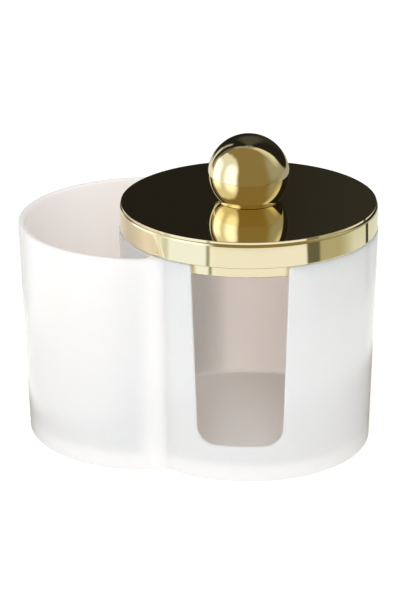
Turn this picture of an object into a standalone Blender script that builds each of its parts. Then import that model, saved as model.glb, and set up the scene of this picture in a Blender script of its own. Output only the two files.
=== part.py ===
"""Two-compartment cotton swab holder with a lift-off lid.

One white moulded tub has two round lobes that overlap in plan. The lobe on the right (+X) is a whole
cylinder with a U-shaped slot in its front, and its wall divides it from the crescent that is left of
the other lobe. A formed metal lid closes the round lobe. A turned ball knob is held on the lid by a
screw and a washer from below.

Metres, +Z up. The origin is on the ground, under the middle of the tub, and the front is -Y.
"""

from math import acos, asin, atan, atan2, cos, pi, radians, sin, sqrt, tan

import bmesh
import bpy

# Tub, outside
RIM_RADIUS = 0.0450  # each lobe at the rim
SIDE_DRAFT = 0.0019  # how much each lobe's radius loses from rim to ground
LOBE_SPACING = 0.0371  # between the axes of the two lobes
TUB_HEIGHT = 0.0781
WALL = 0.0023
NOTCH_BLEND = 0.0010  # concave round where the lobes meet outside
RIM_ROUND = 0.0009  # on both edges of every wall top and of the slot
FOOT_ROUND = 0.0006  # outer edge of the foot

# Tub, inside and below
FLOOR_TOP = 0.0056  # height of both compartment floors
FLOOR_THICKNESS = 0.0026
FOOT_WIDTH = 0.0030  # the standing rim round the recessed underside
RECESS_DRAFT = 0.0003  # how much the recess narrows from its mouth to its ceiling
RECESS_ROUND = 0.0005  # inner corner of the recess
FLOOR_ROUND = 0.0014  # inner corner between walls and floors
CRESCENT_TIP_ROUND = 0.0026  # the two pointed ends of the crescent
DIVIDER_GAIN = 0.0004  # how much the crescent side of the divider gains from rim to ground

# Slot in the front of the round compartment
SLOT_TURN = radians(10.4)  # its middle, turned from -Y towards +X
SLOT_TOP_HALF_WIDTH = 0.01635
SLOT_LOW_HALF_WIDTH = 0.01445
SLOT_SILL = 0.0131  # height of its lower edge
SLOT_CORNER_ROUND = 0.0060
SLOT_LIP_ROUND = 0.0010  # where its sides meet the rim

# Lid: one metal sheet, with a band just inside the tub's outside and a necked-in plug below it
SEAT_GAP = 0.0003  # between pieces that rest on each other
LID_SHEET = 0.0010
LID_SET_BACK = 0.0003  # from the tub's outside to the band
BAND_HEIGHT = 0.0090
LID_EDGE_ROUND = 0.0011  # round the top face
BAND_FOOT_ROUND = 0.0004  # round the lower edge of the band
LID_INSIDE_ROUND = 0.0006
PLUG_DEPTH = 0.0043  # below the underside of the band
PLUG_CLEARANCE = 0.0004  # to the wall, at the plug's lower end

# Knob: a ball cut flat where it stands on the lid
BALL_RADIUS = 0.01413
BALL_RISE = 0.0089  # ball's middle above its flat seat
SEAT_EDGE_ROUND = 0.0003
TAPPED_HOLE_SPARE = 0.0015  # past the end of the screw
TAPPED_HOLE_MOUTH = 0.0005  # chamfer
DRILL_POINT = radians(118)

# Screw and washer under the lid
SCREW_RADIUS = 0.0020
SCREW_LENGTH = 0.0100
SCREW_CLEARANCE = 0.0003  # round the shank in the washer, lid and knob
SCREW_POINT = 0.0005  # chamfer
SCREW_HEAD_RADIUS = 0.0040
SCREW_HEAD_HEIGHT = 0.0026
SCREW_HEAD_CROWN = 0.0009  # how much of the head's height is domed
DRIVE_WIDTH = 0.0044  # cross recess, tip to tip
DRIVE_BLADE = 0.0009
DRIVE_DEPTH = 0.0015
DRIVE_TAPER_SHARE = 0.6
WASHER_RADIUS = 0.0060
WASHER_THICKNESS = 0.0010
WASHER_EDGE = 0.0002  # chamfer

# How finely round forms are cut up
CUT_OVERRUN = 0.0020
OPEN_STEPS = 48  # round the left lobe
RIGHT_STEPS = 36  # round the right lobe, from the slot to the back notch
BLOCK_STEPS = 3  # between the front notch and the slot
ROUND_STEPS = 66  # inside the round compartment
SHARED_STEPS = 28  # the crescent's side of the divider
LIP_STEPS = 2
SIDE_STEPS = 2
CORNER_STEPS = 5
SILL_STEPS = 7
EDGE_STEPS = 3
LID_STEPS = 72
KNOB_STEPS = 48
SCREW_STEPS = 28
BALL_STEPS = 15
WELD = 0.0000005

# Worked out from the sizes above
LOBE_X = LOBE_SPACING / 2
BASE_RADIUS = RIM_RADIUS - SIDE_DRAFT
BAND_RADIUS = RIM_RADIUS - LID_SET_BACK
SLOT_MIDDLE = SLOT_TURN - pi / 2  # its middle as an angle about the round lobe's axis
SLOT_DOWN = LIP_STEPS + SIDE_STEPS + CORNER_STEPS  # steps of the slot's outline from rim to sill
LID_SEAT_Z = TUB_HEIGHT + SEAT_GAP
LID_TOP_Z = LID_SEAT_Z + BAND_HEIGHT
LID_UNDERSIDE_Z = LID_TOP_Z - LID_SHEET
KNOB_SEAT_Z = LID_TOP_Z + SEAT_GAP
WASHER_TOP_Z = LID_UNDERSIDE_Z - SEAT_GAP
HEAD_TOP_Z = WASHER_TOP_Z - WASHER_THICKNESS - SEAT_GAP
HOLE_RADIUS = SCREW_RADIUS + SCREW_CLEARANCE


def clear_scene():
    for thing in list(bpy.data.objects):
        bpy.data.objects.remove(thing, do_unlink=True)


def make_material(name, colour, metallic, roughness):
    material = bpy.data.materials.new(name)
    material.use_nodes = True
    shader = material.node_tree.nodes["Principled BSDF"]
    shader.inputs["Base Color"].default_value = (*colour, 1.0)
    shader.inputs["Metallic"].default_value = metallic
    shader.inputs["Roughness"].default_value = roughness
    return material


def finish_object(name, bm, material, parent=None, sharp_angle=radians(35)):
    """Turns a bmesh into an object with one material, its faces out and its round sides smooth."""
    bmesh.ops.recalc_face_normals(bm, faces=bm.faces)
    mesh = bpy.data.meshes.new(name)
    bm.to_mesh(mesh)
    bm.free()
    mesh.materials.append(material)
    mesh.shade_smooth()
    mesh.set_sharp_from_angle(angle=sharp_angle)
    thing = bpy.data.objects.new(name, mesh)
    bpy.context.scene.collection.objects.link(thing)
    thing.parent = parent
    return thing


def cut_away(thing, cutter):
    """Takes the cutter's shape out of a piece, and leaves the cutter as a hidden guide."""
    cutter.hide_render = True
    cutter.display_type = "WIRE"
    cut = thing.modifiers.new("cut", "BOOLEAN")
    cut.operation = "DIFFERENCE"
    cut.solver = "EXACT"
    cut.object = cutter


def arc(centre, radius, start, end, steps):
    """Points on a circle's arc from one angle to another, both ends included."""
    angles = [start + (end - start) * i / steps for i in range(steps + 1)]
    return [(centre[0] + radius * cos(a), centre[1] + radius * sin(a)) for a in angles]


def quarter_round(radius, steps=EDGE_STEPS):
    """Pairs (how far in from the side, how far short of the end face) round one edge."""
    angles = [pi / 2 * i / steps for i in range(steps + 1)]
    return [(radius * (1 - cos(a)), radius * (1 - sin(a))) for a in angles]


def between(start, end, steps):
    """Points on a straight line, both ends included."""
    shares = [i / steps for i in range(steps + 1)]
    return [tuple(a + (b - a) * share for a, b in zip(start, end)) for share in shares]


def lobe_radius(z):
    """Outer radius of a lobe at a height: the wall is drafted from the ground to the rim."""
    return BASE_RADIUS + SIDE_DRAFT * z / TUB_HEIGHT


def divider_radius(z):
    """Radius of the divider's crescent side, drafted the other way so that the mould draws."""
    return RIM_RADIUS + DIVIDER_GAIN * (TUB_HEIGHT - z) / TUB_HEIGHT


def slot_path(offset):
    """The slot's outline moved into the wall, from its right lip down, along the sill and up to its
    left lip, as pairs (across, up)."""
    lean = atan((SLOT_TOP_HALF_WIDTH - SLOT_LOW_HALF_WIDTH) / (TUB_HEIGHT - SLOT_SILL))
    lip_x = SLOT_TOP_HALF_WIDTH + SLOT_LIP_ROUND * (1 / cos(lean) - tan(lean))
    lip_z = TUB_HEIGHT - SLOT_LIP_ROUND
    corner_x = SLOT_LOW_HALF_WIDTH + SLOT_CORNER_ROUND * (tan(lean) - 1 / cos(lean))
    corner_z = SLOT_SILL + SLOT_CORNER_ROUND
    lip = arc((lip_x, lip_z), SLOT_LIP_ROUND - offset, pi / 2, pi - lean, LIP_STEPS)
    corner = arc((corner_x, corner_z), SLOT_CORNER_ROUND + offset, -lean, -pi / 2, CORNER_STEPS)
    side = between(lip[-1], corner[0], SIDE_STEPS)
    right = lip + side[1:-1] + corner
    left = [(-across, up) for across, up in reversed(right)]
    return right + between(right[-1], left[0], SILL_STEPS)[1:-1] + left


def on_round_wall(across, up, depth):
    """A point of the slotted wall, so deep in from its outside."""
    forward = sqrt((lobe_radius(up) - depth) ** 2 - across**2)
    x = LOBE_X + forward * sin(SLOT_TURN) + across * cos(SLOT_TURN)
    y = across * sin(SLOT_TURN) - forward * cos(SLOT_TURN)
    return (x, y, up)


def outside_row(z, inset, across):
    """The tub's outside at a height, counter-clockwise from the slot's right edge to its left edge."""
    radius = lobe_radius(z) - inset
    blend = NOTCH_BLEND + inset
    blend_y = sqrt((radius + blend) ** 2 - LOBE_X**2)
    lean = atan2(blend_y, LOBE_X)
    edge = asin(across / radius)
    right = arc((LOBE_X, 0), radius, SLOT_MIDDLE + edge, pi - lean, RIGHT_STEPS)
    back_notch = arc((0, blend_y), blend, -lean, lean - pi, EDGE_STEPS)
    left = arc((-LOBE_X, 0), radius, lean, 2 * pi - lean, OPEN_STEPS)
    front_notch = arc((0, -blend_y), blend, pi - lean, lean, EDGE_STEPS)
    block = arc((LOBE_X, 0), radius, lean - pi, SLOT_MIDDLE - edge, BLOCK_STEPS)
    outline = right[:-1] + back_notch[:-1] + left[:-1] + front_notch[:-1] + block
    return [(x, y, z) for x, y in outline]


def inside_row(z, depth, across):
    """The round compartment's wall at a height, from the slot's right edge round to its left edge."""
    radius = lobe_radius(z) - depth
    edge = asin(across / radius)
    outline = arc((LOBE_X, 0), radius, SLOT_MIDDLE + edge, SLOT_MIDDLE + 2 * pi - edge, ROUND_STEPS)
    return [(x, y, z) for x, y in outline]


def crescent_row(z, grow):
    """Between the left lobe's wall and the divider, with two rounded tips, counter-clockwise."""
    wall_radius = lobe_radius(z) - WALL + grow
    inner_radius = divider_radius(z) - grow
    tip = CRESCENT_TIP_ROUND + grow
    reach = wall_radius - tip
    hold = inner_radius + tip
    tip_x = (reach**2 - hold**2) / (4 * LOBE_X)
    tip_y = sqrt(reach**2 - (tip_x + LOBE_X) ** 2)
    wall_angle = atan2(tip_y, tip_x + LOBE_X)
    hold_angle = atan2(tip_y, tip_x - LOBE_X)
    wall = arc((-LOBE_X, 0), wall_radius, wall_angle, 2 * pi - wall_angle, OPEN_STEPS)
    low_tip = arc((tip_x, -tip_y), tip, -wall_angle, pi - hold_angle, 2 * EDGE_STEPS)
    hold_side = arc((LOBE_X, 0), inner_radius, 2 * pi - hold_angle, hold_angle, SHARED_STEPS)
    high_tip = arc((tip_x, tip_y), tip, hold_angle - pi, wall_angle, 2 * EDGE_STEPS)
    outline = wall[:-1] + low_tip[:-1] + hold_side[:-1] + high_tip[:-1]
    return [(x, y, z) for x, y in outline]


def add(bm, points):
    return [bm.verts.new(point) for point in points]


def skin(bm, one, other, closed=False):
    """Faces between two rows of as many points."""
    for i in range(0 if closed else 1, len(one)):
        bm.faces.new((one[i - 1], one[i], other[i], other[i - 1]))


def row_edges(bm, row, closed=False):
    return [bm.edges.get((row[i - 1], row[i])) for i in range(0 if closed else 1, len(row))]


def wall_side(bm, row_at, depth_of, low_sections):
    """One side of the slotted wall, from its rounded edge down to its lowest section. Returns the rim's
    row and the slot's outline where the rounded edge ends, and the lowest ring."""
    rims = []
    slots = []
    for inward, short in quarter_round(RIM_ROUND):
        depth = depth_of(inward)
        path = slot_path(short)
        rim = add(bm, row_at(path[0][1], depth, path[0][0]))
        rest = add(bm, [on_round_wall(across, up, depth) for across, up in path[1:-1]])
        rims.append(rim)
        slots.append([rim[0], *rest, rim[-1]])
    for i in range(EDGE_STEPS):
        skin(bm, rims[i], rims[i + 1])
        skin(bm, slots[i], slots[i + 1])
    outline = slots[0]
    path = slot_path(RIM_ROUND)
    row = rims[0]
    for i in range(1, SLOT_DOWN + 1):
        across, up = path[i]
        lower = add(bm, row_at(up, depth_of(0), across)[1:-1])
        lower = [outline[i], *lower, outline[-1 - i]]
        skin(bm, row, lower)
        row = lower
    sill = slice(SLOT_DOWN + 1, -1 - SLOT_DOWN)
    ring = row + outline[sill][::-1]
    for z, depth in low_sections:
        columns = [on_round_wall(across, z, depth) for across, _ in reversed(path[sill])]
        lower = add(bm, row_at(z, depth, path[SLOT_DOWN][0]) + columns)
        skin(bm, ring, lower, closed=True)
        ring = lower
    return rims[-1], slots[-1], ring


def crescent_compartment(bm):
    """The crescent's walls. Returns its rim and the edge of its floor."""
    rows = []
    for outward, short in reversed(quarter_round(RIM_ROUND)):
        rows.append(crescent_row(TUB_HEIGHT - short, outward))
    for inward, short in quarter_round(FLOOR_ROUND):
        rows.append(crescent_row(FLOOR_TOP + short, -inward))
    rings = [add(bm, row) for row in rows]
    for ring, lower in zip(rings, rings[1:]):
        skin(bm, ring, lower, closed=True)
    return rings[0], rings[-1]


def make_tub(material):
    """Two drafted lobes with the slot's edge and every rim rounded, on a standing foot."""
    bm = bmesh.new()
    ceiling = FLOOR_TOP - FLOOR_THICKNESS
    below = [(short, inward) for inward, short in quarter_round(FOOT_ROUND)]
    below.append((0, FOOT_WIDTH))
    for inward, short in quarter_round(RECESS_ROUND):
        below.append((ceiling - short, FOOT_WIDTH + RECESS_DRAFT + inward))
    inside = [(FLOOR_TOP + short, WALL + inward) for inward, short in quarter_round(FLOOR_ROUND)]
    out_rim, out_slot, recess = wall_side(bm, outside_row, lambda inward: inward, below)
    in_rim, in_slot, floor = wall_side(bm, inside_row, lambda inward: WALL - inward, inside)
    crescent_rim, crescent_floor = crescent_compartment(bm)
    skin(bm, out_slot, in_slot)
    for edge in (recess, floor, crescent_floor):
        bm.faces.new(edge)
    top = row_edges(bm, out_rim) + row_edges(bm, in_rim)
    top += row_edges(bm, [out_rim[0], in_rim[0]]) + row_edges(bm, [out_rim[-1], in_rim[-1]])
    top += row_edges(bm, crescent_rim, closed=True)
    bmesh.ops.triangle_fill(bm, edges=top, use_beauty=True, use_dissolve=False)
    return finish_object("tub", bm, material)


def revolve(profile, steps):
    """Turns a profile of (radius, height) points about the Z axis. A closed profile repeats no point."""
    bm = bmesh.new()
    points = add(bm, [(radius, 0, z) for radius, z in profile])
    sides = [bm.edges.new((points[i - 1], points[i])) for i in range(len(points))]
    bmesh.ops.spin(
        bm,
        geom=points + sides,
        cent=(0, 0, 0),
        axis=(0, 0, 1),
        angle=2 * pi,
        steps=steps,
        use_merge=True,
    )
    bmesh.ops.remove_doubles(bm, verts=bm.verts, dist=WELD)
    bmesh.ops.dissolve_degenerate(bm, edges=bm.edges, dist=WELD)
    loose = [edge for edge in bm.edges if not edge.link_faces]
    bmesh.ops.delete(bm, geom=loose, context="EDGES")
    return bm


def plug_radius():
    """The plug clears the drafted wall where that is narrowest beside it."""
    low_z = LID_SEAT_Z - PLUG_DEPTH
    return lobe_radius(low_z) - WALL - PLUG_CLEARANCE


def lid_profile():
    """The formed sheet cut through: top face, band, step in over the rim, and plug."""
    plug = plug_radius()
    top = BAND_HEIGHT
    inside = BAND_RADIUS - LID_SHEET
    step = LID_SHEET
    low = -PLUG_DEPTH
    edge = LID_EDGE_ROUND
    foot = BAND_FOOT_ROUND
    hem = LID_SHEET / 2
    bend = LID_INSIDE_ROUND
    profile = [(HOLE_RADIUS, top)]
    profile += arc((BAND_RADIUS - edge, top - edge), edge, pi / 2, 0, EDGE_STEPS + 1)
    profile += arc((BAND_RADIUS - foot, foot), foot, 0, -pi / 2, EDGE_STEPS - 1)
    profile += [(plug, 0)]
    profile += arc((plug - hem, low + hem), hem, 0, -pi, EDGE_STEPS + 1)
    profile += [(plug - LID_SHEET, step)]
    profile += arc((inside - bend, step + bend), bend, -pi / 2, 0, EDGE_STEPS - 1)
    profile += arc((inside - bend, top - LID_SHEET - bend), bend, 0, pi / 2, EDGE_STEPS - 1)
    profile += [(HOLE_RADIUS, top - LID_SHEET)]
    return profile


def make_lid_cap(material, axis):
    return finish_object("lid_cap", revolve(lid_profile(), LID_STEPS), material, axis)


def knob_profile():
    """The ball from its pole to its flat seat, then up the tapped hole to the drill's point."""
    edge = SEAT_EDGE_ROUND
    edge_angle = -asin((BALL_RISE - edge) / (BALL_RADIUS - edge))
    edge_centre = ((BALL_RADIUS - edge) * cos(edge_angle), edge)
    ball = arc((0, BALL_RISE), BALL_RADIUS, pi / 2, edge_angle, BALL_STEPS)
    seat_edge = arc(edge_centre, edge, edge_angle, -pi / 2, EDGE_STEPS - 1)
    grip = SCREW_LENGTH - WASHER_THICKNESS - LID_SHEET - 3 * SEAT_GAP
    hole_depth = grip + TAPPED_HOLE_SPARE
    drill_rise = HOLE_RADIUS / tan(DRILL_POINT / 2)
    hole = [
        (HOLE_RADIUS + TAPPED_HOLE_MOUTH, 0),
        (HOLE_RADIUS, TAPPED_HOLE_MOUTH),
        (HOLE_RADIUS, hole_depth),
        (0, hole_depth + drill_rise),
    ]
    return ball + seat_edge[1:] + hole


def make_lid_knob(material, axis):
    knob = finish_object("lid_knob", revolve(knob_profile(), KNOB_STEPS), material, axis)
    knob.location.z = KNOB_SEAT_Z - LID_SEAT_Z
    return knob


def make_washer(material, axis):
    top = WASHER_THICKNESS
    rim = WASHER_RADIUS
    edge = WASHER_EDGE
    profile = [
        (HOLE_RADIUS, top),
        (rim - edge, top),
        (rim, top - edge),
        (rim, edge),
        (rim - edge, 0),
        (HOLE_RADIUS, 0),
    ]
    washer = finish_object("knob_washer", revolve(profile, SCREW_STEPS), material, axis)
    washer.location.z = WASHER_TOP_Z - WASHER_THICKNESS - LID_SEAT_Z
    return washer


def screw_profile():
    """Shank up, pan head down, with the head's bearing face at height zero."""
    flat = SCREW_HEAD_HEIGHT - SCREW_HEAD_CROWN
    crown_radius = (SCREW_HEAD_RADIUS**2 + SCREW_HEAD_CROWN**2) / (2 * SCREW_HEAD_CROWN)
    crown_angle = acos(SCREW_HEAD_RADIUS / crown_radius)
    crown_centre = (0, crown_radius - SCREW_HEAD_HEIGHT)
    shank = [
        (0, SCREW_LENGTH),
        (SCREW_RADIUS - SCREW_POINT, SCREW_LENGTH),
        (SCREW_RADIUS, SCREW_LENGTH - SCREW_POINT),
        (SCREW_RADIUS, 0),
        (SCREW_HEAD_RADIUS, 0),
        (SCREW_HEAD_RADIUS, -flat),
    ]
    crown = arc(crown_centre, crown_radius, -crown_angle, -pi / 2, EDGE_STEPS + 1)
    return shank + crown[1:]


def make_drive_cutter(material, axis):
    """Two crossed blades that narrow into the head."""
    bm = bmesh.new()
    low = -SCREW_HEAD_HEIGHT - CUT_OVERRUN
    high = DRIVE_DEPTH - SCREW_HEAD_HEIGHT
    mouth_share = 1 + (1 - DRIVE_TAPER_SHARE) * CUT_OVERRUN / DRIVE_DEPTH
    half = DRIVE_BLADE / 2
    reach = DRIVE_WIDTH / 2
    cross = [(reach, -half), (reach, half), (half, half)]
    outline = []
    for turn in range(4):
        c, s = cos(turn * pi / 2), sin(turn * pi / 2)
        outline += [(x * c - y * s, x * s + y * c) for x, y in cross]
    mouth = add(bm, [(x * mouth_share, y * mouth_share, low) for x, y in outline])
    tip = add(bm, [(x * DRIVE_TAPER_SHARE, y * DRIVE_TAPER_SHARE, high) for x, y in outline])
    skin(bm, mouth, tip, closed=True)
    bm.faces.new(mouth)
    bm.faces.new(tip)
    return finish_object("drive_cutter", bm, material, axis)


def make_screw(material, axis):
    screw = finish_object("knob_screw", revolve(screw_profile(), SCREW_STEPS), material, axis)
    cutter = make_drive_cutter(material, axis)
    for thing in (screw, cutter):
        thing.location.z = HEAD_TOP_Z - LID_SEAT_Z
    cut_away(screw, cutter)
    return screw


def main():
    clear_scene()
    white = make_material("white_plastic", (0.88, 0.88, 0.87), 0.0, 0.12)
    gold = make_material("gold_plate", (0.83, 0.67, 0.35), 1.0, 0.04)
    steel = make_material("zinc_steel", (0.62, 0.63, 0.64), 1.0, 0.3)
    make_tub(white)
    lid_axis = bpy.data.objects.new("lid_axis", None)
    lid_axis.location = (LOBE_X, 0, LID_SEAT_Z)
    bpy.context.scene.collection.objects.link(lid_axis)
    make_lid_cap(gold, lid_axis)
    make_lid_knob(gold, lid_axis)
    make_washer(steel, lid_axis)
    make_screw(steel, lid_axis)


main()
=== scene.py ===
"""Looks of the two-compartment cotton swab holder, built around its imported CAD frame.

The tub, the lid and the ball are finer meshes of the same sizes as their CAD nodes. The screw and the
washer under the lid are the CAD nodes with finished materials. The studio is a white floor, soft lamps,
and a painted dome that only the gloss of the object sees.

Metres, +Z up. The front is -Y, and the round compartment with the lid is on the +X side.
"""

from math import asin, atan, atan2, cos, degrees, hypot, pi, radians, sin, sqrt, tan

import bmesh
import bpy
from mathutils import Matrix, Vector


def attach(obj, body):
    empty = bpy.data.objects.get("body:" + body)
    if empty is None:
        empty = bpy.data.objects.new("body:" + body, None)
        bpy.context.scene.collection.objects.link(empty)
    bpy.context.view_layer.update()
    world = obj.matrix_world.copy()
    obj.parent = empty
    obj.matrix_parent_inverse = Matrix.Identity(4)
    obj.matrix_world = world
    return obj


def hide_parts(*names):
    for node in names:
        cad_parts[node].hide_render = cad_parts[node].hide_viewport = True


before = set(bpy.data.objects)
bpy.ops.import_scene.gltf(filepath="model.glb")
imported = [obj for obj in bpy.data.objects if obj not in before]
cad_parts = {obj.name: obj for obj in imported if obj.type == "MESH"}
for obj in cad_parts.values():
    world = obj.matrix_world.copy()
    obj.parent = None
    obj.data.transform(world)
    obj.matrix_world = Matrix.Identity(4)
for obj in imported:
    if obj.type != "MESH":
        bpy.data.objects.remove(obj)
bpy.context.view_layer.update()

# Tub, as in the part's source
RIM_RADIUS = 0.0450
SIDE_DRAFT = 0.0019
LOBE_SPACING = 0.0371
TUB_HEIGHT = 0.0781
WALL = 0.0023
NOTCH_BLEND = 0.0010
RIM_ROUND = 0.0009
FOOT_ROUND = 0.0006
FLOOR_TOP = 0.0056
FLOOR_THICKNESS = 0.0026
FOOT_WIDTH = 0.0030
RECESS_DRAFT = 0.0003
RECESS_ROUND = 0.0005
FLOOR_ROUND = 0.0014
CRESCENT_TIP_ROUND = 0.0026
DIVIDER_GAIN = 0.0004

# Slot in the front of the round compartment
SLOT_TURN = radians(10.4)  # its middle, turned from -Y towards +X
SLOT_TOP_HALF_WIDTH = 0.01635
SLOT_LOW_HALF_WIDTH = 0.01445
SLOT_SILL = 0.0131
SLOT_CORNER_ROUND = 0.0060
SLOT_LIP_ROUND = 0.0010

# Lid and ball
LID_GAP = 0.0001  # between the band and the rim of the tub
LID_SEAT_Z = TUB_HEIGHT + 0.0003
LID_TOP_Z = LID_SEAT_Z + 0.0090
LID_SHEET = 0.0010
BAND_RADIUS = RIM_RADIUS - 0.0003
LID_TOP_ROUND = 0.00015
LID_RIM_INSET = 0.00045  # the top panel's edge, in from the band
LID_RIM_HEIGHT = 0.00075
LID_RIM_LEAN = radians(7)
LID_SHOULDER = 0.0009  # height of the round from the panel's edge to the band
BAND_FOOT_ROUND = 0.0004
LID_INSIDE_ROUND = 0.0006
LID_CORNER_HOLD = 0.00005  # how close points hold the shading of a sharp inner corner
PLUG_DEPTH = 0.0043
PLUG_CLEARANCE = 0.0004
SCREW_HOLE_RADIUS = 0.0023
BALL_RADIUS = 0.01413
BALL_RISE = 0.00915  # the ball's middle above its flat seat
BALL_SEAT_GAP = 0.00005
SEAT_EDGE_ROUND = 0.0003

# How finely forms are cut up
OPEN_STEPS = 150  # outside and inside of the left lobe
RIGHT_STEPS = 120  # outside of the right lobe, from the slot round to the blend at the back
BLOCK_STEPS = 16  # outside of the right lobe, from the blend at the front to the slot
ROUND_STEPS = 220  # wall of the round compartment
SHARED_STEPS = 90  # divider, on the crescent's side
NOTCH_STEPS = 8  # blend between the lobes
LIP_STEPS = 5
SIDE_STEPS = 10
CORNER_STEPS = 14
SILL_STEPS = 24
EDGE_STEPS = 6  # small rounded edge
CRESCENT_LEVELS = (0.75, 0.5, 0.25)  # rings of the crescent's wall, as shares of its height
LID_STEPS = 288
LID_TOP_STEPS = 4
LID_RIM_STEPS = 8
BALL_STEPS = 72  # from the pole to the seat
BALL_ROUND_STEPS = 144
ON_AXIS = 0.0000005  # a smaller radius is on the axis
LARGE_FACE_WEIGHT = 90  # how far the larger faces lead the shading, from 1 to 100

# The ball's tapped hole, up from its seat, as pairs (radius, height)
BALL_HOLE = [(0.0028, 0), (0.0023, 0.0005), (0.0023, 0.0086), (0, 0.00998)]

LOBE_X = LOBE_SPACING / 2
SLOT_MIDDLE = SLOT_TURN - pi / 2  # angle of the slot's middle about the round lobe's axis
SLOT_DOWN = LIP_STEPS + SIDE_STEPS + CORNER_STEPS  # steps of the slot's outline from rim to sill

# Finishes. Each goes between two colours and between two roughnesses by noise. A noise is given as its
# scale and detail, and a bump as its depth and strength.
PLASTIC_COLOURS = ((0.992, 0.946, 0.915), (0.988, 0.94, 0.908))
PLASTIC_ROUGHNESS = (0.13, 0.21)
PLASTIC_IOR = 1.5
GLOW_REACH = (0.0134, 0.0109, 0.0099)  # how far red, green and blue light spread in the plastic
GLOW_SHARE = 0.85  # share of its own colour that comes from light spread in this way
FLOW_MARKS = (28, 3)
PLASTIC_HAZE = (90, 4)
WALL_WAVES = (22, 1)
WALL_WAVES_BUMP = (0.00012, 0.35)
PLASTIC_GRAIN = (2600, 2)
PLASTIC_GRAIN_BUMP = (0.000004, 0.5)
GOLD_COLOURS = ((0.92, 0.82, 0.57), (0.9, 0.8, 0.545))
GOLD_ROUGHNESS = (0.025, 0.06)
GOLD_TONES = (40, 2)
GOLD_POLISH = (160, 5)
GOLD_WAVES = (55, 1)
ZINC_COLOURS = ((0.66, 0.67, 0.68), (0.52, 0.53, 0.56))
ZINC_ROUGHNESS = (0.24, 0.42)
ZINC_MOTTLE = (900, 4)
ZINC_HAZE = (2400, 3)
ZINC_GRAIN = (5200, 2)
METAL_BUMP = (0.00002, 0.4)
NOISE_SPAN = (0.3, 0.7)  # where nearly all of a noise's values lie

# Studio
WHITE = (1, 1, 1)
STUDIO_CENTRE = Vector((LOBE_X, 0, 0.09))  # the lamps and the dome are set out from here
AMBIENT_LEVEL = 0.42
AMBIENT_COLOUR = (1, 0.985, 0.982)
FLOOR_TONE = 0.72
FLOOR_ROUGHNESS = 0.8
FLOOR_LIFT = 0.37  # how strongly the floor glows
FLOOR_FAR = (0.5, 1.4)  # how far out its glow starts to rise to white, and where it is white
FLOOR_REACH = 6.0
FLOOR_SQUARES = 8

# Soft lamps, all as far off: name, azimuth and elevation in degrees, size, level and, where it isn't the
# usual one, colour. Azimuth is 0 at the front and grows towards +X.
LAMP_DISTANCE = 1.4
LAMP_COLOUR = (1, 0.982, 0.978)
LAMPS = [
    ("key", -58, 28, 0.9, 0.15),
    ("fill_low", -18, 12, 0.6, 0.03),
    ("fill_front", 25, 10, 0.5, 0.195, (1, 0.955, 0.94)),
    ("fill_mid", 12, 39, 0.6, 0.24),
    ("fill_top", 0, 58, 0.6, 0.11),
    ("top", 0, 84, 0.8, 0.13),
    ("back", 185, 28, 0.9, 0.45, (1, 0.89, 0.8)),
]

# Dome that only the gloss sees
DOME_RADIUS = 0.42
DOME_STEPS = (360, 178)  # round and up
DOME_LOW = radians(-88)
FLOOR_CARD_Z = 0.0005  # its own floor, just over the studio's

# What is painted on the dome over its plain colour, in this order: azimuths and elevations in degrees,
# how round the corners are, how soft the edge is, and the light's colour
ROOM = (0.265, 0.2, 0.075)
PATCHES = [
    ((66, 270), (-40, -15), 2, 2, (0.47, 0.44, 0.28)),  # dull band at the right and back
    ((108, 270), (-40, -15), 8, 30, (0.85, 0.9, 0.85)),
    ((63, 75), (-40, -13), 2, 3, (0.14, 0.135, 0.09)),
    ((133, 138), (-40, -13), 1, 2, (0.02, 0.02, 0.01)),
    ((-60, 63), (-40, -17), 2, 1, (0.95, 0.96, 0.94)),  # the white floor in front
    ((95, 262), (0, 87), 36, 12, (0.36, 0.33, 0.25)),  # a pale rim round the dark back
    ((108, 140), (50, 80), 12, 14, (0.72, 0.66, 0.46)),
    ((74, 140), (-9, 46), 20, 26, (0.36, 0.35, 0.25)),  # right panel
    ((103, 140), (20, 68), 14, 26, (0.8, 0.76, 0.56)),
    ((121, 252), (-4, 76), 30, 5, (0.018, 0.016, 0.0125)),  # dark back
    ((160, 190), (8, 36), 10, 16, (0.034, 0.031, 0.024)),
    ((166, 214), (30, 78), 20, 20, (0.075, 0.07, 0.055)),
    ((252, 262), (-4, 58), 3, 5, (0.15, 0.13, 0.09)),
    ((231, 239), (-6, 46), 3, 5, (0.42, 0.42, 0.4)),  # light streak
    ((231, 239), (-8, 22), 3, 8, (0.8, 0.8, 0.7)),
    ((122, 222), (-15, -4), 3, 3, (0.4, 0.39, 0.33)),  # horizon at the back
    ((218, 256), (-15, -1), 4, 6, (0.85, 0.84, 0.74)),
    ((-97, -50), (-45, 45), 10, 4, (0.82, 0.83, 0.72)),  # bright panels at the left
    ((-97, -17), (-45, 51), 32, 10, (0.82, 0.83, 0.72)),
    ((-102, -72), (-45, 24), 8, 16, (1.5, 1.55, 1.6)),
    ((-54, -21), (-45, 34), 16, 20, (1.45, 1.5, 1.55)),
    ((-64, -19), (-42, -12), 2, 4, (0.97, 1.05, 1.14)),
    ((-62, -55), (-42, -13), 1, 4, (0.7, 0.74, 0.66)),
    ((-20, -17), (-42, -13), 1, 2, (0.34, 0.36, 0.28)),
    ((-200, 200), (-42, -28), 1, 4, (1.2, 1.2, 1.15)),  # painted highlight: a ring of floor brighter than white, which lights up the lid's edge
    # painted shade: the floor near and under the foot, darkened for the reflections low on the lid
    ((-200, 200), (-90, -43), 1, 4, (0.22, 0.18, 0.1)),
]

# The photograph's view, fitted to the object's outlines
CAMERA_PLACE = Vector((0.20345, -0.71909, 0.33787))
CAMERA_AIM = Vector((0.00101, 0, 0.04820))
CAMERA_ROLL = radians(-0.415)
CAMERA_LENS = 135.54
CAMERA_SENSOR = 36
CAMERA_CLIP = (0.01, 20)


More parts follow.
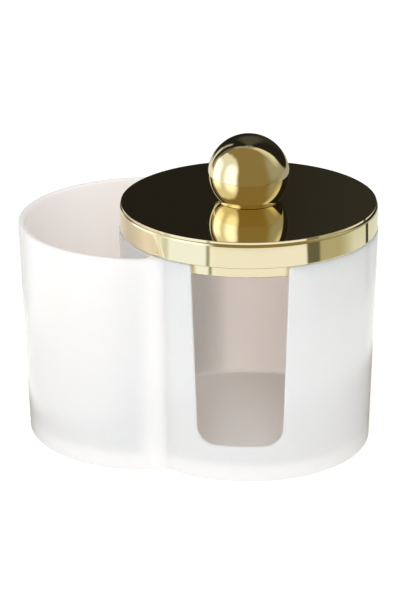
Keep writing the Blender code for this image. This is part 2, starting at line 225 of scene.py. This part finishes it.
def arc(centre, radius, start, end, steps):
    """Points on a circle's arc from one angle to another, both ends included."""
    angles = [start + (end - start) * i / steps for i in range(steps + 1)]
    return [(centre[0] + radius * cos(a), centre[1] + radius * sin(a)) for a in angles]


def between(start, end, steps):
    """Points on a straight line, both ends included."""
    shares = [i / steps for i in range(steps + 1)]
    return [tuple(a + (b - a) * share for a, b in zip(start, end)) for share in shares]


def quarter_round(radius, steps=EDGE_STEPS):
    """Pairs (how far in from the side, how far short of the end face) round one edge."""
    angles = [pi / 2 * i / steps for i in range(steps + 1)]
    return [(radius * (1 - cos(a)), radius * (1 - sin(a))) for a in angles]


def lobe_radius(z):
    """Outside radius of either lobe at a height."""
    return RIM_RADIUS - SIDE_DRAFT * (1 - z / TUB_HEIGHT)


def divider_radius(z):
    """Radius of the divider's face on the crescent's side, which leans the other way."""
    return RIM_RADIUS + DIVIDER_GAIN * (TUB_HEIGHT - z) / TUB_HEIGHT


def slot_path(offset):
    """The slot's outline moved into the wall, from its right lip down, along the sill and up to its
    left lip, as pairs (across, up)."""
    lean = atan((SLOT_TOP_HALF_WIDTH - SLOT_LOW_HALF_WIDTH) / (TUB_HEIGHT - SLOT_SILL))
    lip_x = SLOT_TOP_HALF_WIDTH + SLOT_LIP_ROUND * (1 / cos(lean) - tan(lean))
    lip_z = TUB_HEIGHT - SLOT_LIP_ROUND
    corner_x = SLOT_LOW_HALF_WIDTH + SLOT_CORNER_ROUND * (tan(lean) - 1 / cos(lean))
    corner_z = SLOT_SILL + SLOT_CORNER_ROUND
    lip = arc((lip_x, lip_z), SLOT_LIP_ROUND - offset, pi / 2, pi - lean, LIP_STEPS)
    corner = arc((corner_x, corner_z), SLOT_CORNER_ROUND + offset, -lean, -pi / 2, CORNER_STEPS)
    side = between(lip[-1], corner[0], SIDE_STEPS)
    right = lip + side[1:-1] + corner
    left = [(-across, up) for across, up in reversed(right)]
    return right + between(right[-1], left[0], SILL_STEPS)[1:-1] + left


def on_round_wall(across, up, depth):
    """A point of the slotted wall, at a place on the slot's outline and a depth in from the outside."""
    forward = sqrt((lobe_radius(up) - depth) ** 2 - across**2)
    x = LOBE_X + forward * sin(SLOT_TURN) + across * cos(SLOT_TURN)
    y = across * sin(SLOT_TURN) - forward * cos(SLOT_TURN)
    return (x, y, up)


def outside_row(z, inset, across):
    """The tub's outside at a height, counter-clockwise from the slot's right edge to its left edge."""
    radius = lobe_radius(z) - inset
    blend = NOTCH_BLEND + inset
    blend_y = sqrt((radius + blend) ** 2 - LOBE_X**2)
    lean = atan2(blend_y, LOBE_X)
    edge = asin(across / radius)
    right = arc((LOBE_X, 0), radius, SLOT_MIDDLE + edge, pi - lean, RIGHT_STEPS)
    back_notch = arc((0, blend_y), blend, -lean, lean - pi, NOTCH_STEPS)
    left = arc((-LOBE_X, 0), radius, lean, 2 * pi - lean, OPEN_STEPS)
    front_notch = arc((0, -blend_y), blend, pi - lean, lean, NOTCH_STEPS)
    block = arc((LOBE_X, 0), radius, lean - pi, SLOT_MIDDLE - edge, BLOCK_STEPS)
    outline = right[:-1] + back_notch[:-1] + left[:-1] + front_notch[:-1] + block
    return [(x, y, z) for x, y in outline]


def inside_row(z, depth, across):
    """The round compartment's wall at a height, from the slot's right edge round to its left edge."""
    radius = lobe_radius(z) - depth
    edge = asin(across / radius)
    outline = arc((LOBE_X, 0), radius, SLOT_MIDDLE + edge, SLOT_MIDDLE + 2 * pi - edge, ROUND_STEPS)
    return [(x, y, z) for x, y in outline]


def add(bm, points):
    return [bm.verts.new(point) for point in points]


def skin(bm, one, other, closed=False):
    """Faces between two rows of as many points. A corner that comes twice in a face counts once."""
    for i in range(0 if closed else 1, len(one)):
        corners = dict.fromkeys((one[i - 1], one[i], other[i], other[i - 1]))
        if len(corners) > 2:
            bm.faces.new(tuple(corners))


def row_edges(bm, row, closed=False):
    return [bm.edges.get((row[i - 1], row[i])) for i in range(0 if closed else 1, len(row))]


def wall_side(bm, row_at, depth_of, low_sections):
    """One side of the slotted wall, from its rounded edge down to its lowest section. Returns the rim's
    row and the slot's outline where the rounded edge ends, and the lowest ring."""
    rims = []
    slots = []
    for inward, short in quarter_round(RIM_ROUND):
        depth = depth_of(inward)
        path = slot_path(short)
        rim = add(bm, row_at(path[0][1], depth, path[0][0]))
        rest = add(bm, [on_round_wall(across, up, depth) for across, up in path[1:-1]])
        rims.append(rim)
        slots.append([rim[0], *rest, rim[-1]])
    for i in range(EDGE_STEPS):
        skin(bm, rims[i], rims[i + 1])
        skin(bm, slots[i], slots[i + 1])
    outline = slots[0]
    path = slot_path(RIM_ROUND)
    row = rims[0]
    for i in range(1, SLOT_DOWN + 1):
        across, up = path[i]
        lower = add(bm, row_at(up, depth_of(0), across)[1:-1])
        lower = [outline[i], *lower, outline[-1 - i]]
        skin(bm, row, lower)
        row = lower
    sill = slice(SLOT_DOWN + 1, -1 - SLOT_DOWN)
    ring = row + outline[sill][::-1]
    for z, depth in low_sections:
        columns = [on_round_wall(across, z, depth) for across, _ in reversed(path[sill])]
        lower = add(bm, row_at(z, depth, path[SLOT_DOWN][0]) + columns)
        skin(bm, ring, lower, closed=True)
        ring = lower
    return rims[-1], slots[-1], ring


def crescent_row(z, grow):
    """Between the left lobe's wall and the divider, with two rounded tips, counter-clockwise."""
    wall_radius = lobe_radius(z) - WALL + grow
    inner_radius = divider_radius(z) - grow
    tip = CRESCENT_TIP_ROUND + grow
    reach = wall_radius - tip
    hold = inner_radius + tip
    tip_x = (reach**2 - hold**2) / (4 * LOBE_X)
    tip_y = sqrt(reach**2 - (tip_x + LOBE_X) ** 2)
    wall_angle = atan2(tip_y, tip_x + LOBE_X)
    hold_angle = atan2(tip_y, tip_x - LOBE_X)
    wall = arc((-LOBE_X, 0), wall_radius, wall_angle, 2 * pi - wall_angle, OPEN_STEPS)
    low_tip = arc((tip_x, -tip_y), tip, -wall_angle, pi - hold_angle, 2 * EDGE_STEPS)
    hold_side = arc((LOBE_X, 0), inner_radius, 2 * pi - hold_angle, hold_angle, SHARED_STEPS)
    high_tip = arc((tip_x, tip_y), tip, hold_angle - pi, wall_angle, 2 * EDGE_STEPS)
    outline = wall[:-1] + low_tip[:-1] + hold_side[:-1] + high_tip[:-1]
    return [(x, y, z) for x, y in outline]


def crescent_compartment(bm):
    """The crescent's wall from rim to floor. Returns the row where its rounded rim ends, and the edge of
    its floor."""
    rows = []
    for inward, short in reversed(quarter_round(RIM_ROUND)):
        rows.append(crescent_row(TUB_HEIGHT - short, inward))
    for share in CRESCENT_LEVELS:
        rows.append(crescent_row(FLOOR_TOP + (TUB_HEIGHT - FLOOR_TOP) * share, 0))
    for inward, short in quarter_round(FLOOR_ROUND):
        rows.append(crescent_row(FLOOR_TOP + short, -inward))
    rings = [add(bm, row) for row in rows]
    for ring, lower in zip(rings, rings[1:]):
        skin(bm, ring, lower, closed=True)
    return rings[0], rings[-1]


def mesh_object(name, bm, finish):
    """Turns a bmesh into an object of the scene."""
    mesh = bpy.data.meshes.new(name)
    bm.to_mesh(mesh)
    bm.free()
    mesh.materials.append(finish)
    made = bpy.data.objects.new(name, mesh)
    bpy.context.scene.collection.objects.link(made)
    return made


def finish_piece(name, bm, body, node, finish):
    """Turns a bmesh into a smooth piece that rides on a body and stands for a CAD node."""
    bmesh.ops.recalc_face_normals(bm, faces=bm.faces)
    piece = mesh_object(name, bm, finish)
    piece.data.shade_smooth()
    normals = piece.modifiers.new("normals", "WEIGHTED_NORMAL")
    normals.weight = LARGE_FACE_WEIGHT
    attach(piece, body)
    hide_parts(node)


def make_tub(finish):
    """Two drafted lobes with the slot's edge and every rim rounded, on a standing foot."""
    bm = bmesh.new()
    ceiling = FLOOR_TOP - FLOOR_THICKNESS
    below = [(short, inward) for inward, short in quarter_round(FOOT_ROUND)]
    below.append((0, FOOT_WIDTH))
    for inward, short in quarter_round(RECESS_ROUND):
        below.append((ceiling - short, FOOT_WIDTH + RECESS_DRAFT + inward))
    inside = [(FLOOR_TOP + short, WALL + inward) for inward, short in quarter_round(FLOOR_ROUND)]
    out_rim, out_slot, recess = wall_side(bm, outside_row, lambda inward: inward, below)
    in_rim, in_slot, floor = wall_side(bm, inside_row, lambda inward: WALL - inward, inside)
    crescent_rim, crescent_floor = crescent_compartment(bm)
    skin(bm, out_slot, in_slot)
    bm.faces.new(recess)
    bm.faces.new(floor)
    bm.faces.new(crescent_floor)
    top = row_edges(bm, out_rim) + row_edges(bm, in_rim)
    top += row_edges(bm, [out_rim[0], in_rim[0]]) + row_edges(bm, [out_rim[-1], in_rim[-1]])
    top += row_edges(bm, crescent_rim, closed=True)
    bmesh.ops.triangle_fill(bm, edges=top, use_beauty=True, use_dissolve=False)
    finish_piece("tub_moulding", bm, "tub", "tub", finish)


def revolve(profile, steps):
    """Turns a closed profile of (radius, height) points about the Z axis."""
    bm = bmesh.new()
    rings = []
    for radius, z in profile:
        if radius < ON_AXIS:
            rings.append(add(bm, [(0, 0, z)]) * steps)
        else:
            circle = arc((0, 0), radius, 0, 2 * pi, steps)[:-1]
            rings.append(add(bm, [(x, y, z) for x, y in circle]))
    for ring, after in zip(rings, rings[1:] + rings[:1]):
        skin(bm, ring, after, closed=True)
    return bm


def lid_profile():
    """The formed sheet cut through: mirror top, band, step in over the rim, and plug."""
    plug = lobe_radius(LID_SEAT_Z - PLUG_DEPTH) - WALL - PLUG_CLEARANCE
    foot_z = TUB_HEIGHT + LID_GAP
    plug_z = LID_SEAT_Z - PLUG_DEPTH
    step_z = LID_SEAT_Z + LID_SHEET
    inside = BAND_RADIUS - LID_SHEET
    foot = BAND_FOOT_ROUND
    hem = LID_SHEET / 2
    bend = LID_INSIDE_ROUND
    near = LID_CORNER_HOLD
    under_z = LID_TOP_Z - LID_SHEET
    edge = LID_TOP_ROUND
    rim = BAND_RADIUS - LID_RIM_INSET
    rim_edge = arc((rim - edge, LID_TOP_Z - edge), edge, pi / 2, -LID_RIM_LEAN, EDGE_STEPS)
    rim_foot_x = rim_edge[-1][0] - LID_RIM_HEIGHT * sin(LID_RIM_LEAN)
    rim_foot_z = rim_edge[-1][1] - LID_RIM_HEIGHT * cos(LID_RIM_LEAN)
    profile = between((SCREW_HOLE_RADIUS, LID_TOP_Z), rim_edge[0], LID_TOP_STEPS)[:-1]
    profile += rim_edge + between(rim_edge[-1], (rim_foot_x, rim_foot_z), LID_RIM_STEPS)[1:]
    for across, down in reversed(quarter_round(1, 4 * EDGE_STEPS)[:-1]):
        x = BAND_RADIUS - (BAND_RADIUS - rim_foot_x) * across
        profile.append((x, rim_foot_z - LID_SHOULDER * down))
    profile += arc((BAND_RADIUS - foot, foot_z + foot), foot, 0, -pi / 2, EDGE_STEPS)
    profile += [(plug + near, foot_z), (plug, foot_z), (plug, foot_z - near)]
    profile += arc((plug - hem, plug_z + hem), hem, 0, -pi, 2 * EDGE_STEPS)
    wall = plug - LID_SHEET
    profile += [(wall, step_z - near), (wall, step_z), (wall + near, step_z)]
    profile += arc((inside - bend, step_z + bend), bend, -pi / 2, 0, EDGE_STEPS)
    profile += arc((inside - bend, under_z - bend), bend, 0, pi / 2, EDGE_STEPS)
    profile += [(SCREW_HOLE_RADIUS, under_z)]
    return profile


def make_lid(finish):
    bm = revolve(lid_profile(), LID_STEPS)
    bmesh.ops.translate(bm, verts=bm.verts, vec=(LOBE_X, 0, 0))
    finish_piece("lid_shell", bm, "lid", "lid_cap", finish)


def ball_profile():
    """The ball from its pole to its flat seat, then up the tapped hole to the drill's point."""
    edge = SEAT_EDGE_ROUND
    edge_angle = -asin((BALL_RISE - edge) / (BALL_RADIUS - edge))
    edge_centre = ((BALL_RADIUS - edge) * cos(edge_angle), edge)
    ball = arc((0, BALL_RISE), BALL_RADIUS, pi / 2, edge_angle, BALL_STEPS)
    seat_edge = arc(edge_centre, edge, edge_angle, -pi / 2, EDGE_STEPS)
    return ball + seat_edge[1:] + BALL_HOLE


def make_ball(finish):
    bm = revolve(ball_profile(), BALL_ROUND_STEPS)
    bmesh.ops.translate(bm, verts=bm.verts, vec=(LOBE_X, 0, LID_TOP_Z + BALL_SEAT_GAP))
    finish_piece("knob_ball", bm, "lid", "lid_knob", finish)


def new_material(name):
    """A material and its nodes, links and shader."""
    made = bpy.data.materials.new(name)
    made.use_nodes = True
    tree = made.node_tree
    return made, tree.nodes, tree.links, tree.nodes["Principled BSDF"]


def value_range(nodes, links, value, source, target):
    """A value stretched from one range to another. Returns the socket, as the next three do."""
    spread = nodes.new("ShaderNodeMapRange")
    spread.inputs["From Min"].default_value = source[0]
    spread.inputs["From Max"].default_value = source[1]
    spread.inputs["To Min"].default_value = target[0]
    spread.inputs["To Max"].default_value = target[1]
    links.new(value, spread.inputs["Value"])
    return spread.outputs["Result"]


def noise_range(nodes, links, noise, target=(0, 1)):
    """Noise over the object's own coordinates, stretched to a range."""
    place = nodes.new("ShaderNodeTexCoord")
    texture = nodes.new("ShaderNodeTexNoise")
    texture.inputs["Scale"].default_value = noise[0]
    texture.inputs["Detail"].default_value = noise[1]
    links.new(place.outputs["Object"], texture.inputs["Vector"])
    return value_range(nodes, links, texture.outputs["Fac"], NOISE_SPAN, target)


def colour_between(nodes, links, share, one, other):
    mix = nodes.new("ShaderNodeMix")
    mix.data_type = "RGBA"
    links.new(share, mix.inputs[0])
    mix.inputs["A"].default_value = (*one, 1)
    mix.inputs["B"].default_value = (*other, 1)
    return mix.outputs["Result"]


def bump_from(nodes, links, height, bump, normal=None):
    """A bump of a depth and strength, over another one if that is given."""
    made = nodes.new("ShaderNodeBump")
    made.inputs["Distance"].default_value = bump[0]
    made.inputs["Strength"].default_value = bump[1]
    links.new(height, made.inputs["Height"])
    if normal:
        links.new(normal, made.inputs["Normal"])
    return made.outputs["Normal"]


def vary(nodes, links, shader, tones, colours, haze, roughness):
    """Lets one noise choose between two colours, and another between two roughnesses."""
    share = noise_range(nodes, links, tones)
    links.new(colour_between(nodes, links, share, *colours), shader.inputs["Base Color"])
    links.new(noise_range(nodes, links, haze, roughness), shader.inputs["Roughness"])


def white_plastic():
    """Gloss white moulding that glows a little through its walls, with faint flow marks, a fine grain and
    the long soft waves of a moulded wall."""
    made, nodes, links, shader = new_material("white_plastic_gloss")
    vary(nodes, links, shader, FLOW_MARKS, PLASTIC_COLOURS, PLASTIC_HAZE, PLASTIC_ROUGHNESS)
    waves = noise_range(nodes, links, WALL_WAVES)
    soft = bump_from(nodes, links, waves, WALL_WAVES_BUMP)
    grain = noise_range(nodes, links, PLASTIC_GRAIN)
    links.new(bump_from(nodes, links, grain, PLASTIC_GRAIN_BUMP, soft), shader.inputs["Normal"])
    shader.inputs["IOR"].default_value = PLASTIC_IOR
    shader.inputs["Subsurface Weight"].default_value = GLOW_SHARE
    shader.inputs["Subsurface Radius"].default_value = GLOW_REACH
    shader.inputs["Subsurface Scale"].default_value = 1
    return made


def metal(name, tones, colours, haze, roughness, relief):
    made, nodes, links, shader = new_material(name)
    shader.inputs["Metallic"].default_value = 1
    vary(nodes, links, shader, tones, colours, haze, roughness)
    height = noise_range(nodes, links, relief)
    links.new(bump_from(nodes, links, height, METAL_BUMP), shader.inputs["Normal"])
    return made


def gold_plate():
    """Mirror gold over formed metal: slight changes of tone and gloss, and a trace of unevenness."""
    return metal(
        "gold_plate_mirror", GOLD_TONES, GOLD_COLOURS, GOLD_POLISH, GOLD_ROUGHNESS, GOLD_WAVES
    )


def zinc_steel():
    """Zinc-plated steel of the screw and washer: a fine mottled and grained grey."""
    return metal(
        "zinc_steel_plated", ZINC_MOTTLE, ZINC_COLOURS, ZINC_HAZE, ZINC_ROUGHNESS, ZINC_GRAIN
    )


def stage_object(name, bm, finish):
    thing = mesh_object(name, bm, finish)
    return thing


def seen_share(nodes, links):
    """1 for rays that show the background: from the camera, from gloss and through glass. Returns the
    socket."""
    path = nodes.new("ShaderNodeLightPath")
    most = path.outputs["Is Camera Ray"]
    for name in ("Is Glossy Ray", "Is Transmission Ray"):
        larger = nodes.new("ShaderNodeMath")
        larger.operation = "MAXIMUM"
        links.new(most, larger.inputs[0])
        links.new(path.outputs[name], larger.inputs[1])
        most = larger.outputs[0]
    return most


def make_world():
    """White where it is seen, and a plain soft level where it lights the object."""
    world = bpy.data.worlds.new("studio")
    world.use_nodes = True
    bpy.context.scene.world = world
    nodes = world.node_tree.nodes
    links = world.node_tree.links
    background = nodes["Background"]
    seen = seen_share(nodes, links)
    level = value_range(nodes, links, seen, (0, 1), (AMBIENT_LEVEL, 1))
    links.new(level, background.inputs["Strength"])
    colour = colour_between(nodes, links, seen, AMBIENT_COLOUR, WHITE)
    links.new(colour, background.inputs["Color"])


def make_floor():
    """White floor with a soft glow of its own, like a light table. Far off, where the lamps don't reach,
    it is lifted to the white of the background, but only where it is seen."""
    made, nodes, links, shader = new_material("floor_white")
    shader.inputs["Base Color"].default_value = (FLOOR_TONE, FLOOR_TONE, FLOOR_TONE, 1)
    shader.inputs["Roughness"].default_value = FLOOR_ROUGHNESS
    shader.inputs["Specular IOR Level"].default_value = 0
    shader.inputs["Emission Color"].default_value = (*WHITE, 1)
    place = nodes.new("ShaderNodeTexCoord")
    distance = nodes.new("ShaderNodeVectorMath")
    distance.operation = "LENGTH"
    links.new(place.outputs["Object"], distance.inputs[0])
    far_lift = value_range(nodes, links, distance.outputs["Value"], FLOOR_FAR, (FLOOR_LIFT, 1))
    lift = nodes.new("ShaderNodeMix")
    links.new(seen_share(nodes, links), lift.inputs[0])
    lift.inputs["A"].default_value = FLOOR_LIFT
    links.new(far_lift, lift.inputs["B"])
    links.new(lift.outputs["Result"], shader.inputs["Emission Strength"])
    made.cycles.emission_sampling = "NONE"
    bm = bmesh.new()
    bmesh.ops.create_grid(
        bm, x_segments=FLOOR_SQUARES, y_segments=FLOOR_SQUARES, size=FLOOR_REACH
    )
    stage_object("studio_floor", bm, made)


def toward(azimuth, elevation):
    """Direction from the studio's centre. Azimuth is 0 at the front and grows towards +X."""
    across = cos(elevation)
    return Vector((sin(azimuth) * across, -cos(azimuth) * across, sin(elevation)))


def patch_share(azimuth, elevation, azimuths, elevations, corner, soft):
    """How much of a patch with rounded corners and a soft edge covers a direction, from 0 to 1."""
    middle = (azimuths[0] + azimuths[1]) / 2
    across = abs((azimuth - middle + 180) % 360 - 180) - (azimuths[1] - azimuths[0]) / 2 + corner
    up = abs(elevation - (elevations[0] + elevations[1]) / 2)
    up -= (elevations[1] - elevations[0]) / 2 - corner
    outside = hypot(max(across, 0), max(up, 0)) + min(max(across, up), 0) - corner
    share = min(max(0.5 - outside / soft, 0), 1)
    return share * share * (3 - 2 * share)


def surround_colour(azimuth, elevation):
    """The light painted on the dome in a direction."""
    colour = Vector(ROOM)
    for azimuths, elevations, corner, soft, light in PATCHES:
        share = patch_share(degrees(azimuth), degrees(elevation), azimuths, elevations, corner, soft)
        colour = colour.lerp(Vector(light), share)
    return colour


def surround_finish():
    """A plain glow in the colours painted on the mesh, which lights nothing by itself."""
    made = bpy.data.materials.new("surround")
    made.use_nodes = True
    nodes = made.node_tree.nodes
    nodes.clear()
    glow = nodes.new("ShaderNodeVertexColor")
    glow.layer_name = "glow"
    light = nodes.new("ShaderNodeEmission")
    out = nodes.new("ShaderNodeOutputMaterial")
    made.node_tree.links.new(glow.outputs["Color"], light.inputs["Color"])
    made.node_tree.links.new(light.outputs["Emission"], out.inputs["Surface"])
    made.cycles.emission_sampling = "NONE"
    return made


def make_surround():
    """A dome on the floor, and the floor inside it, that only the gloss of the object sees."""
    bm = bmesh.new()
    layer = bm.verts.layers.float_color.new("glow")
    rows = []
    for i in range(DOME_STEPS[1] + 1):
        elevation = DOME_LOW + (pi / 2 - DOME_LOW) * i / DOME_STEPS[1]
        row = []
        for j in range(DOME_STEPS[0]):
            azimuth = 2 * pi * j / DOME_STEPS[0]
            way = toward(azimuth, elevation)
            reach = DOME_RADIUS
            if way.z * reach < FLOOR_CARD_Z - STUDIO_CENTRE.z:
                reach = (FLOOR_CARD_Z - STUDIO_CENTRE.z) / way.z
            vertex = bm.verts.new(STUDIO_CENTRE + reach * way)
            vertex[layer] = (*surround_colour(azimuth, elevation), 1)
            row.append(vertex)
        rows.append(row)
    for row, higher in zip(rows, rows[1:]):
        skin(bm, row, higher, closed=True)
    dome = stage_object("studio_surround", bm, surround_finish())
    dome.visible_camera = False
    dome.visible_diffuse = False
    dome.visible_transmission = False
    dome.visible_volume_scatter = False
    dome.visible_shadow = False


def make_lamp(name, azimuth, elevation, size, level, colour=LAMP_COLOUR):
    """A soft lamp that the gloss doesn't show. Level is the share of white that it gives to a surface
    that faces it."""
    data = bpy.data.lights.new(name, "AREA")
    data.size = size
    data.energy = level * pi**2 * LAMP_DISTANCE**2
    data.color = colour
    lamp = bpy.data.objects.new(name, data)
    way = toward(radians(azimuth), radians(elevation))
    lamp.location = STUDIO_CENTRE + LAMP_DISTANCE * way
    lamp.rotation_euler = way.to_track_quat("Z", "Y").to_euler()
    lamp.visible_glossy = False
    bpy.context.scene.collection.objects.link(lamp)


def make_camera():
    """The photograph's view: 14 degrees to the right of the front and 22 above."""
    data = bpy.data.cameras.new("camera")
    data.lens = CAMERA_LENS
    data.sensor_width = CAMERA_SENSOR
    data.clip_start, data.clip_end = CAMERA_CLIP
    camera = bpy.data.objects.new("camera", data)
    turn = (CAMERA_PLACE - CAMERA_AIM).to_track_quat("Z", "Y").to_matrix().to_4x4()
    roll = Matrix.Rotation(CAMERA_ROLL, 4, "Z")
    camera.matrix_world = Matrix.Translation(CAMERA_PLACE) @ turn @ roll
    bpy.context.scene.collection.objects.link(camera)
    bpy.context.scene.camera = camera


def make_studio():
    make_world()
    make_floor()
    make_surround()
    for lamp in LAMPS:
        make_lamp(*lamp)
    make_camera()
    bpy.context.scene.view_settings.view_transform = "Standard"


gold = gold_plate()
make_tub(white_plastic())
make_lid(gold)
make_ball(gold)
steel = zinc_steel()
for fastener in ("knob_screw", "knob_washer"):
    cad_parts[fastener].material_slots[0].material = steel
make_studio()
